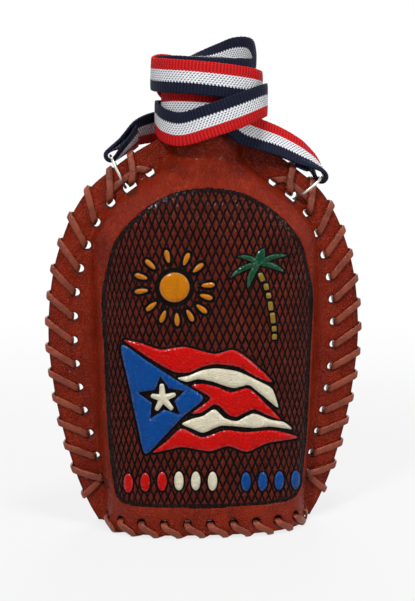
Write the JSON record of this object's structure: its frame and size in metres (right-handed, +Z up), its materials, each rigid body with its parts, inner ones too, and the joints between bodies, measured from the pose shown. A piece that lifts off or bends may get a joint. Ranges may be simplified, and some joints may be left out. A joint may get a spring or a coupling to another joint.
{
  "type": "leather covered pocket flask",
  "caption": "Flat glass flask in two wet-moulded tooled leather covers, whip-laced at the edges, with a striped carrying strap wound round its capped neck.",
  "frame": {"origin": "centre of the flat middle of the base cover, on the surface that the flask stands on", "axes": "+Z up along the neck, -Y out of the tooled front cover, +X to the right as the front is seen"},
  "size_m": [0.1305, 0.0515, 0.2007],
  "materials": {
    "glass": "clear, slightly green, gloss",
    "cap_liner": "soft foam disc, matte",
    "cap_plastic": "moulded, semi gloss",
    "leather": "tooled, dyed red-brown and glazed",
    "lace": "narrow cut lace, smooth, slightly glossy",
    "ring_metal": "plated wire, bright",
    "webbing": "ribbed woven tape in three stripes, matte"
  },
  "bodies": {
    "root": {"glass_bottle": "glass", "front_cover": "leather", "back_cover": "leather", "base_cover": "leather", "left_side_lace": "lace", "right_side_lace": "lace", "front_base_lace": "lace", "back_base_lace": "lace", "strap": "webbing"},
    "liner": {"cap_liner": "cap_liner"},
    "cap": {"screw_cap": "cap_plastic"},
    "left_ring": {"left_ring": "ring_metal"},
    "right_ring": {"right_ring": "ring_metal"}
  },
  "joints": [
    {"name": "cap_rise", "type": "slide", "parent": "root", "child": "liner", "axis": [0, 0, 1], "range_m": [0, 0.00634]},
    {"name": "cap_turn", "type": "hinge", "parent": "liner", "child": "cap", "pos_m": [0, 0, 0.18], "axis": [0, 0, 1], "range_deg": [0, 540]},
    {"name": "left_ring_turn", "type": "hinge", "parent": "root", "child": "left_ring", "pos_m": [-0.03478, 0, 0.14603], "axis": [0.9104, 0, 0.4137], "continuous": true},
    {"name": "right_ring_turn", "type": "hinge", "parent": "root", "child": "right_ring", "pos_m": [0.04209, 0, 0.13942], "axis": [-0.6246, 0, 0.7809], "continuous": true}
  ],
  "couplings": [
    {"joint": "cap_turn", "follows": "cap_rise", "rad_per_m": 1485.4}
  ]
}
